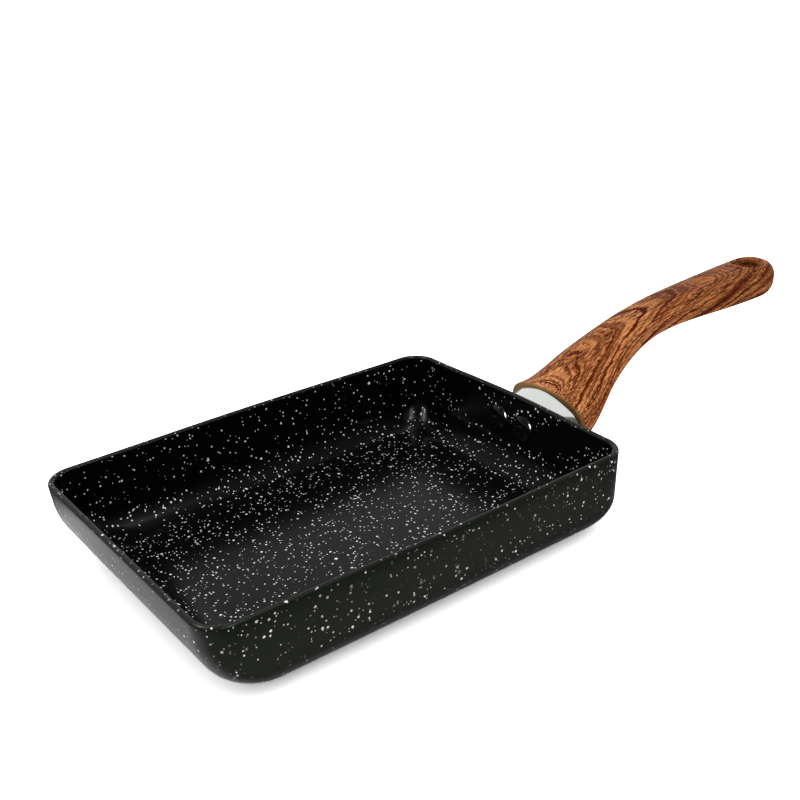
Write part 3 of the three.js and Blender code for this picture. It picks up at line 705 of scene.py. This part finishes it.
wood_print, tree, shader = new_material(
    "wood-print phenolic", Roughness=0.5, IOR=1.15, Specular_Tint=(0.05, 0.05, 0.05, 1),
)
flat_map = add(tree, "ShaderNodeUVMap", {}, uv_map="along_and_up")[0]
flat_mm = add(tree, "ShaderNodeVectorMath", {0: flat_map, "Scale": 1 / MM}, operation="SCALE")[0]
object_mm = add(tree, "ShaderNodeVectorMath", {
    0: add(tree, "ShaderNodeTexCoord", {})["Object"], "Scale": 1 / MM,
}, operation="SCALE")[0]
flat_parts = add(tree, "ShaderNodeSeparateXYZ", {0: flat_mm})
along, up = flat_parts["X"], flat_parts["Y"]
across = add(tree, "ShaderNodeSeparateXYZ", {0: object_mm})["Y"]
wander_place = add(tree, "ShaderNodeCombineXYZ", {
    0: add(tree, "ShaderNodeMath", {0: along, 1: WANDER_LENGTH}, operation="DIVIDE")[0],
    1: add(tree, "ShaderNodeMath", {0: across, 1: WANDER_WIDTH}, operation="DIVIDE")[0],
    2: add(tree, "ShaderNodeMath", {0: up, 1: WANDER_WIDTH}, operation="DIVIDE")[0],
})[0]
wander = add(tree, "ShaderNodeTexNoise", {"Vector": wander_place, "Scale": 1, "Detail": 2})["Fac"]
climb = add(tree, "ShaderNodeMath", {
    0: along, 1: HEART_CURVE, 2: HEART_CLIMB,
}, operation="MULTIPLY_ADD")[0]
heart = add(tree, "ShaderNodeMath", {0: along, 1: climb, 2: HEART_HEIGHT}, operation="MULTIPLY_ADD")[0]
drop = add(tree, "ShaderNodeMath", {0: heart, 1: up}, operation="SUBTRACT")[0]
from_heart = add(tree, "ShaderNodeVectorMath", {
    0: add(tree, "ShaderNodeCombineXYZ", {0: across, 1: drop})[0],
}, operation="LENGTH")["Value"]
radius = add(tree, "ShaderNodeMath", {
    0: wander, 1: RING_WANDER, 2: from_heart,
}, operation="MULTIPLY_ADD")[0]
ring = add(tree, "ShaderNodeMath", {
    0: add(tree, "ShaderNodeMath", {0: radius, 1: RING_SPACING}, operation="DIVIDE")[0],
}, operation="FRACT")[0]
late_wood = add(tree, "ShaderNodeMapRange", {
    "Value": ring, "From Min": LATE_WOOD_START, "From Max": LATE_WOOD_FULL,
}, interpolation_type="SMOOTHSTEP")[0]
early_wood = add(tree, "ShaderNodeMapRange", {
    "Value": ring, "From Min": 0, "From Max": EARLY_WOOD_END, "To Min": 1, "To Max": 0,
}, interpolation_type="SMOOTHSTEP")[0]
flame = add(tree, "ShaderNodeMath", {0: late_wood, 1: early_wood}, operation="MAXIMUM")[0]

fibres = add(tree, "ShaderNodeCombineXYZ", {0: across, 1: along, 2: up})[0]
feather_place = add(tree, "ShaderNodeVectorMath", {0: fibres, 1: FEATHER_SIZE}, operation="DIVIDE")[0]
feather = add(tree, "ShaderNodeTexNoise", {"Vector": feather_place, "Scale": 1, "Detail": 1})["Fac"]
feathered_radius = add(tree, "ShaderNodeMath", {
    0: feather, 1: FEATHER_DEPTH, 2: radius,
}, operation="MULTIPLY_ADD")[0]
rings = add(tree, "ShaderNodeCombineXYZ", {0: feathered_radius, 1: along, 2: across})[0]

# What each kind of mark follows, its width, length and depth, the noise levels at which it starts and is
# full, its weight on pale and on dark wood, and its ink
Mark = namedtuple("Mark", "course size start full on_pale on_dark ink")
colour = linear("#f8a86b")
for mark in (
    Mark(rings, (7, 45, 45), 0.38, 0.7, 0.45, 0.6, "#9c4e1b"),
    Mark(rings, (0.8, 70, 70), 0.47, 0.54, 0.7, 1, "#662000"),
    Mark(fibres, (0.5, 50, 0.5), 0.49, 0.56, 0.6, 0.9, "#5a1c00"),
    Mark(fibres, (0.45, 2.2, 0.45), 0.56, 0.61, 0.6, 0.9, "#3a0f00"),
):
    grain_place = add(tree, "ShaderNodeVectorMath", {0: mark.course, 1: mark.size}, operation="DIVIDE")[0]
    noise = add(tree, "ShaderNodeTexNoise", {"Vector": grain_place, "Scale": 1, "Detail": 2})["Fac"]
    shape = add(tree, "ShaderNodeMapRange", {
        "Value": noise, "From Min": mark.start, "From Max": mark.full,
    })[0]
    weight = add(tree, "ShaderNodeMapRange", {
        "Value": flame, "To Min": mark.on_pale, "To Max": mark.on_dark,
    })[0]
    share = add(tree, "ShaderNodeMath", {0: shape, 1: weight}, operation="MULTIPLY")[0]
    colour = add(tree, "ShaderNodeMix", {0: share, 6: colour, 7: linear(mark.ink)}, data_type="RGBA")[2]
# Painted shade: the whole print is multiplied darker towards the tip
tip_shade_share = add(tree, "ShaderNodeMath", {0: along, 1: handle_length / MM}, operation="DIVIDE")[0]
colour = add(tree, "ShaderNodeMix", {
    0: tip_shade_share, 6: colour, 7: linear("#bdafa0"),
}, data_type="RGBA", blend_type="MULTIPLY")[2]
to_side = add(tree, "ShaderNodeMath", {0: across, 1: FACE_WIDTH / MM}, operation="DIVIDE")[0]
side_share = add(tree, "ShaderNodeMath", {0: to_side, 1: to_side}, operation="MULTIPLY")[0]
olive_reach = add(tree, "ShaderNodeMath", {
    0: side_share, 1: OLIVE_SIDE, 2: OLIVE_TOP,
}, operation="MULTIPLY_ADD")[0]
olive_share = add(tree, "ShaderNodeMath", {0: along, 1: olive_reach}, operation="DIVIDE")[0]
olive = add(tree, "ShaderNodeMapRange", {
    "Value": olive_share, "From Min": OLIVE_FADE, "From Max": 1, "To Min": OLIVE_WEIGHT, "To Max": 0,
})[0]
# Painted light and shade on the lip's olive ink: lighter tan on the +Y side, darker on the -Y side
painted_light_side = add(tree, "ShaderNodeMapRange", {"Value": to_side, "From Min": -1, "From Max": 1})[0]
ink = add(tree, "ShaderNodeMix", {
    0: painted_light_side, 6: linear("#6c4f26"), 7: linear("#c49660"),
}, data_type="RGBA")[2]
colour = add(tree, "ShaderNodeMix", {0: olive, 6: colour, 7: ink}, data_type="RGBA")[2]
tree.links.new(colour, shader.inputs["Base Color"])
bump = add(tree, "ShaderNodeBump", {
    "Height": noise, "Strength": PORE_STRENGTH, "Distance": PORE_DEPTH,
})[0]
tree.links.new(bump, shader.inputs["Normal"])

# Bare phenolic moulding: the dark brown resin itself, where the film doesn't reach.
FILLER_FLECK = 0.7 * MM

bare_phenolic, tree, shader = new_material("bare phenolic", Roughness=0.6)
place = add(tree, "ShaderNodeTexCoord", {})["Object"]
fleck = add(tree, "ShaderNodeTexNoise", {"Vector": place, "Scale": 1 / FILLER_FLECK, "Detail": 2})["Fac"]
tone = add(tree, "ShaderNodeMix", {
    0: fleck, 6: linear("#1c120c"), 7: linear("#33231a"),
}, data_type="RGBA")[2]
tree.links.new(tone, shader.inputs["Base Color"])

handle = to_piece(handle_mesh, "grip", wood_print, bare_phenolic)


def cut(piece, mesh):
    """Cuts a closed shape out of a piece."""
    cutter = to_piece(mesh, "cutter", *piece.data.materials)
    modifier = piece.modifiers.new("cut", "BOOLEAN")
    modifier.operation = "DIFFERENCE"
    modifier.solver = "EXACT"
    modifier.object = cutter
    whole = piece.data
    piece.data = bpy.data.meshes.new_from_object(piece.evaluated_get(bpy.context.evaluated_depsgraph_get()))
    piece.modifiers.clear()
    bpy.data.meshes.remove(whole)
    bpy.data.meshes.remove(cutter.data)
    shade(piece)


# Socket for the tongue, which leaves the bracket level and turns up along the handle
TONGUE_WIDTH = 3.5 * MM
TONGUE_HEIGHT = 4 * MM
TONGUE_REACH = 32 * MM
TONGUE_SQUARENESS = 8
SOCKET_GAP = 0.4 * MM
SOCKET_STEPS = 12
SOCKET_POINTS = 32

tongue_start = Vector((wall_x(rivet_z) + FIT_GAP + FLANGE_THICKNESS / 2, 0, rivet_z))
tongue_end, tongue_slope = on_line(TONGUE_REACH)
tongue_turn = tongue_end - heading(tongue_slope) * ((tongue_end.z - tongue_start.z) / sin(tongue_slope))


def on_tongue(share):
    """Point of the tongue's middle line at a share of its bend, and its slope there."""
    before = tongue_start.lerp(tongue_turn, share)
    after = tongue_turn.lerp(tongue_end, share)
    return before.lerp(after, share), atan2(after.z - before.z, after.x - before.x)


socket_sections = []
for step in range(SOCKET_STEPS + 1):
    centre, slope = on_tongue(step / SOCKET_STEPS)
    if step == SOCKET_STEPS:
        centre = centre + heading(slope) * SOCKET_GAP
    half_width = TONGUE_WIDTH + SOCKET_GAP
    half_height = TONGUE_HEIGHT + SOCKET_GAP
    socket_sections.append(Section(centre, slope, half_width, half_height, 0, TONGUE_SQUARENESS))
socket_mesh, _, socket_end = swept(socket_sections, SOCKET_POINTS)
bmesh.ops.edgeloop_fill(socket_mesh, edges=socket_end)
bmesh.ops.recalc_face_normals(socket_mesh, faces=socket_mesh.faces)
for face in socket_mesh.faces:
    face.material_index = 1
cut(handle, socket_mesh)

# Screw hole across the socket, with a counterbore from below for the head and its washer
SCREW_SETBACK = 14 * MM
SCREW_RADIUS = 2 * MM
SCREW_HEAD_RADIUS = 3.8 * MM
SCREW_SEAT_WALL = 2.2 * MM
HEAD_GAP = 0.7 * MM

tongue_shares = [step / LINE_STEPS for step in range(LINE_STEPS + 1)]
tongue_steps = [(on_tongue(b)[0] - on_tongue(a)[0]).length for a, b in pairwise(tongue_shares)]
tongue_lengths = [0, *accumulate(tongue_steps)]
screw_share = tongue_shares[bisect(tongue_lengths, tongue_lengths[-1] - SCREW_SETBACK)]
screw_centre, screw_slope = on_tongue(screw_share)
screw_place = Matrix.Translation(screw_centre) @ Matrix.Rotation(-screw_slope, 4, "Y")
screw_seat = -(TONGUE_HEIGHT + SOCKET_GAP + SCREW_SEAT_WALL)
bore_mesh = turned([
    (0, 0),
    (SCREW_RADIUS + FIT_GAP, 0),
    (SCREW_RADIUS + FIT_GAP, screw_seat),
    (SCREW_HEAD_RADIUS + HEAD_GAP, screw_seat),
    (SCREW_HEAD_RADIUS + HEAD_GAP, screw_seat - 2 * FACE_HEIGHT),
    (0, screw_seat - 2 * FACE_HEIGHT),
])
for face in bore_mesh.faces:
    face.material_index = 1
bmesh.ops.transform(bore_mesh, matrix=screw_place, verts=bore_mesh.verts)
cut(handle, bore_mesh)

# Hanging hole: an upright slot, whose mouths round over into the skin above and below
HANG_RADIUS = 6 * MM
HANG_STRAIGHT = 2 * MM
HANG_SETBACK = 16 * MM
HANG_MOUTH = 1.4 * MM
MOUTH_TURN = radians(72)
MOUTH_STEPS = 6
MOUTH_RUN = 1.2 * MM
CUT_ABOVE = 4 * MM

hang_along = handle_length - HANG_SETBACK
hang_centre = on_line(hang_along)[0]


def lay_slot_ring(verts, layers, side, grow, rise):
    """Lays a ring of the slot at a height over the handle's skin, on its upper or lower side."""
    for vert in verts:
        turn = vert[layers["angle"]]
        x = copysign(HANG_STRAIGHT / 2, cos(turn)) + (HANG_RADIUS + grow) * cos(turn)
        y = (HANG_RADIUS + grow) * sin(turn)
        section = handle_section(hang_along + x)
        dome = (1 - (abs(y) / section.half_width) ** SQUARENESS) ** (1 / SQUARENESS)
        z = section.centre.z + side * (section.half_height * dome + rise)
        vert.co = (hang_centre.x + x, y, z)
        vert[layers["along"]] = hang_along + x
        vert[layers["up"]] = z - section.centre.z


mouth = []
for step in range(MOUTH_STEPS + 1):
    turn = MOUTH_TURN * step / MOUTH_STEPS
    mouth.append((HANG_MOUTH * (1 - cos(turn)), HANG_MOUTH * (sin(turn) - 1)))
last_grow, last_rise = mouth[-1]
mouth.append((last_grow + MOUTH_RUN * sin(MOUTH_TURN), last_rise + MOUTH_RUN * cos(MOUTH_TURN)))
mouth.append((mouth[-1][0], CUT_ABOVE))
slot_levels = [(-1, *level) for level in reversed(mouth)] + [(1, *level) for level in mouth]
slot_mesh = bmesh.new()
layers = {name: slot_mesh.verts.layers.float.new(name) for name in ("angle", "along", "up")}
start = bmesh.ops.create_circle(slot_mesh, cap_ends=True, segments=SECTION_STEPS, radius=1)["verts"]
bmesh.ops.rotate(slot_mesh, verts=start, matrix=Matrix.Rotation(pi / SECTION_STEPS, 3, "Z"))
for vert in start:
    vert[layers["angle"]] = atan2(vert.co.y, vert.co.x)
lay_slot_ring(start, layers, *slot_levels[0])
edge = slot_mesh.edges[:]
for level in slot_levels[1:]:
    grown = bmesh.ops.extrude_edge_only(slot_mesh, edges=edge)["geom"]
    edge = kind_of(grown, bmesh.types.BMEdge)
    lay_slot_ring(kind_of(grown, bmesh.types.BMVert), layers, *level)
bmesh.ops.edgeloop_fill(slot_mesh, edges=edge)
bmesh.ops.recalc_face_normals(slot_mesh, faces=slot_mesh.faces)
unroll(slot_mesh)
cut(handle, slot_mesh)

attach(handle, "root")
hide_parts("handle")

# Screw and split washer: a zinc-plated machine screw with a cross recess, driven from below through the
# handle into the tongue. The spring washer under its head keeps it tight.

SCREW_HEAD_HEIGHT = 2.4 * MM
SCREW_CROWN = 1.2 * MM
SCREW_EDGE = 0.25 * MM
WASHER_THICKNESS = 1 * MM
RECESS_LENGTH = 4.6 * MM
RECESS_WIDTH = 1.1 * MM
RECESS_DEPTH = 1.4 * MM
RECESS_TAPER = 0.25 * MM

# Zinc plate: a pale grey metal with a bluish, slightly clouded passivation.
PLATE_CLOUD = 1.5 * MM
ZINC_SMOOTHEST = 0.26
ZINC_ROUGHEST = 0.46

zinc_plate, tree, shader = new_material("zinc-plated steel", Metallic=1)
place = add(tree, "ShaderNodeTexCoord", {})["Object"]
cloud = add(tree, "ShaderNodeTexNoise", {"Vector": place, "Scale": 1 / PLATE_CLOUD, "Detail": 4})["Fac"]
tone = add(tree, "ShaderNodeMix", {
    0: cloud, 6: linear("#a3a6ab"), 7: linear("#c4c7cb"),
}, data_type="RGBA")[2]
tree.links.new(tone, shader.inputs["Base Color"])
roughness = add(tree, "ShaderNodeMapRange", {
    "Value": cloud, "To Min": ZINC_SMOOTHEST, "To Max": ZINC_ROUGHEST,
})[0]
tree.links.new(roughness, shader.inputs["Roughness"])

head_top = screw_seat - 2 * FIT_GAP - WASHER_THICKNESS
head_bottom = head_top - SCREW_HEAD_HEIGHT
crown = []
for step in range(DOME_STEPS + 1):
    turn = pi / 2 * step / DOME_STEPS
    crown.append((SCREW_HEAD_RADIUS * sin(turn), head_bottom + SCREW_CROWN * (1 - cos(turn))))
screw_mesh = turned(crown + [
    (SCREW_HEAD_RADIUS, head_top - SCREW_EDGE),
    (SCREW_HEAD_RADIUS - SCREW_EDGE, head_top),
    (SCREW_RADIUS, head_top),
    (SCREW_RADIUS, TONGUE_HEIGHT - SCREW_EDGE),
    (SCREW_RADIUS - SCREW_EDGE, TONGUE_HEIGHT),
    (0, TONGUE_HEIGHT),
])
bmesh.ops.transform(screw_mesh, matrix=screw_place, verts=screw_mesh.verts)
screw = to_piece(screw_mesh, "grip_screw", zinc_plate)
for turn in (0, pi / 2):
    recess_mesh = bmesh.new()
    cube = bmesh.ops.create_cube(recess_mesh, size=1)["verts"]
    bmesh.ops.scale(recess_mesh, vec=(RECESS_LENGTH, RECESS_WIDTH, 2 * RECESS_DEPTH), verts=cube)
    deep = [vert for vert in cube if vert.co.z > 0]
    bmesh.ops.scale(recess_mesh, vec=(1 - 2 * RECESS_TAPER / RECESS_LENGTH, 1, 1), verts=deep)
    recess_place = screw_place @ Matrix.Translation((0, 0, head_bottom)) @ Matrix.Rotation(turn, 4, "Z")
    bmesh.ops.transform(recess_mesh, matrix=recess_place, verts=cube)
    cut(screw, recess_mesh)
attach(screw, "root")
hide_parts("handle_screw")

dress("lock_washer", zinc_plate)

# Studio: a white table in an even white room; where mirrors see the table, it carries painted light and
# shade. Lamps that only show as glints pick out the tray's corner and the rivets, and a dark card that only
# mirrors see paints a dark reflection on the steel, which gives it an edge. The camera stands where the
# photograph was taken from.

FLOOR_SIZE = 8
TABLE_GAIN = 2.5
# Painted light and shade on the table, seen only in mirrors: its brightness before the front wall and
# towards the handle, painted shade behind and aside, and painted contact shade along the tray's right edge
MIRROR_FRONT = 1.6
MIRROR_BACK = 0.7
MIRROR_SHADE = 0.12
SHADE_DEPTH = 40 * MM
POOL_EDGE = 18 * MM
POOL_FADE = 25 * MM
CONTACT_SHADE = 0.2
CONTACT_REACH = 14 * MM
CAMERA_PLACE = Vector((-203.8, -318.2, 234.6)) * MM
CAMERA_TURN = radians(53.56 - 90)
CAMERA_TILT = radians(90 - 24.91)
CAMERA_ROLL = radians(-2.28)
CAMERA_LENS = 50.95

floor_mesh = bmesh.new()
bmesh.ops.create_grid(floor_mesh, x_segments=1, y_segments=1, size=FLOOR_SIZE / 2)

# White laminate: matt. For the camera it is brighter, as in an exposure for the dark tray, so that it reads
# as white and keeps only the deep part of the shadow. In mirrors it carries painted light and shade: it is
# painted up to white before the front wall, where the tray shades it, falls off along the tray, and has
# painted shade along the tray's right edge, behind it and aside.
white_table, tree, shader = new_material("white laminate")
rays = add(tree, "ShaderNodeLightPath", {})
gain = (TABLE_GAIN, TABLE_GAIN, TABLE_GAIN, 1)
tone = add(tree, "ShaderNodeMix", {
    0: rays["Is Camera Ray"], 6: linear("#f7f7f7"), 7: gain,
}, data_type="RGBA")[2]
mirrored = add(tree, "ShaderNodeMath", {
    0: rays["Is Glossy Ray"], 1: rays["Is Transmission Ray"],
}, operation="MAXIMUM")[0]
table_place = add(tree, "ShaderNodeSeparateXYZ", {0: add(tree, "ShaderNodeTexCoord", {})["Object"]})
# Painted light seen only in mirrors: brightest before the front wall, falling off towards the handle
painted_front_light = add(tree, "ShaderNodeMapRange", {
    "Value": table_place["X"], "From Min": tray_low.x, "From Max": tray_high.x,
    "To Min": MIRROR_FRONT, "To Max": MIRROR_BACK,
})[0]
shade_behind = add(tree, "ShaderNodeMapRange", {
    "Value": table_place["X"], "From Min": tray_high.x, "From Max": tray_high.x + SHADE_DEPTH,
    "To Min": 1, "To Max": MIRROR_SHADE,
})[0]
aside = add(tree, "ShaderNodeMath", {0: table_place["Y"]}, operation="ABSOLUTE")[0]
pool_edge = tray_high.y + POOL_EDGE
shade_aside = add(tree, "ShaderNodeMapRange", {
    "Value": aside, "From Min": pool_edge, "From Max": pool_edge + POOL_FADE,
    "To Min": 1, "To Max": MIRROR_SHADE,
})[0]
past_edge = add(tree, "ShaderNodeMath", {0: table_place["Y"], 1: tray_high.y}, operation="ADD")[0]
from_edge = add(tree, "ShaderNodeMath", {0: past_edge}, operation="ABSOLUTE")[0]
# Painted contact shade in mirrors, along the tray's right (-Y) edge
painted_contact_shade = add(tree, "ShaderNodeMapRange", {
    "Value": from_edge, "From Min": 0, "From Max": CONTACT_REACH, "To Min": CONTACT_SHADE, "To Max": 1,
})[0]
painted_mirror_shade = add(tree, "ShaderNodeMath", {0: shade_behind, 1: shade_aside}, operation="MINIMUM")[0]
painted_mirror_shade = add(tree, "ShaderNodeMath", {0: painted_mirror_shade, 1: painted_contact_shade}, operation="MINIMUM")[0]
painted_mirror_tone = add(tree, "ShaderNodeMath", {0: painted_front_light, 1: painted_mirror_shade}, operation="MULTIPLY")[0]
tone = add(tree, "ShaderNodeMix", {0: mirrored, 6: tone, 7: painted_mirror_tone}, data_type="RGBA")[2]
matt = add(tree, "ShaderNodeBsdfDiffuse", {"Color": tone})[0]
tree.links.new(matt, tree.nodes["Material Output"].inputs["Surface"])
tree.nodes.remove(shader)
to_piece(floor_mesh, "table", white_table)

# Dark card: a painted dark reflection. It stands on its edge to the right of the pan, but casts no shadow,
# lights nothing and the camera doesn't see it, so it shows only in what mirrors it.
CARD_WIDTH = 0.9
CARD_HEIGHT = 0.42
CARD_PLACE = Vector((0.15, -0.6, CARD_HEIGHT / 2))

card_mesh = bmesh.new()
stretch = Matrix.Diagonal((CARD_WIDTH, CARD_HEIGHT, 1, 1))
upright = Matrix.Translation(CARD_PLACE) @ Matrix.Rotation(pi / 2, 4, "X") @ stretch
bmesh.ops.create_grid(card_mesh, x_segments=1, y_segments=1, size=0.5, matrix=upright)
# Its colour is the painted reflection that the steel shows at its dark end
painted_reflection_board, tree, shader = new_material("dark card", Base_Color=linear("#706c5b"), Roughness=1)
card = to_piece(card_mesh, "card", painted_reflection_board)
card.visible_camera = False
card.visible_diffuse = False
card.visible_shadow = False

world = bpy.data.worlds.new("white room")
bpy.context.scene.world = world
world.use_nodes = True
world.node_tree.nodes["Background"].inputs["Color"].default_value = linear("#ffffff")
world.node_tree.nodes["Background"].inputs["Strength"].default_value = 1

# The two ends of each lamp, its power in watts, its width, and the pieces that it is turned on
Lamp = namedtuple("Lamp", "name start end power width pieces")
for lamp in (
    Lamp("left strip", Vector((-0.8, 0.05, 0.55)), Vector((-0.2, 0.35, 0.9)), 28, 0.12, [tray]),
    Lamp("right strip", Vector((-0.12, -0.7, 0.62)), Vector((0.15, -0.1, 0.97)), 28, 0.12, [tray]),
    Lamp("right softbox", Vector((-0.33, -0.55, 0.33)), Vector((0.2, -0.55, 0.33)), 330, 0.52, rivets),
):
    place = (lamp.start + lamp.end) / 2
    away = place.normalized()
    run = lamp.end - lamp.start
    width_way = away.cross(run).normalized()
    lamp_data = bpy.data.lights.new(lamp.name, "AREA")
    lamp_data.shape = "RECTANGLE"
    lamp_data.energy = lamp.power
    lamp_data.size = run.length
    lamp_data.size_y = lamp.width
    lamp_object = bpy.data.objects.new(lamp.name, lamp_data)
    facing = Matrix((width_way.cross(away), width_way, away)).transposed()
    lamp_object.matrix_world = Matrix.Translation(place) @ facing.to_4x4()
    lamp_object.visible_camera = False
    lamp_object.visible_diffuse = False
    lit_pieces = bpy.data.collections.new(lamp.name)
    for piece in lamp.pieces:
        lit_pieces.objects.link(piece)
    lamp_object.light_linking.receiver_collection = lit_pieces
    bpy.context.scene.collection.objects.link(lamp_object)

camera_data = bpy.data.cameras.new("camera")
camera_data.lens = CAMERA_LENS
camera = bpy.data.objects.new("camera", camera_data)
turn = Matrix.Rotation(CAMERA_TURN, 4, "Z")
tilt = Matrix.Rotation(CAMERA_TILT, 4, "X")
roll = Matrix.Rotation(CAMERA_ROLL, 4, "Z")
camera.matrix_world = Matrix.Translation(CAMERA_PLACE) @ turn @ tilt @ roll
bpy.context.scene.collection.objects.link(camera)
bpy.context.scene.camera = camera
bpy.context.scene.view_settings.view_transform = "Standard"
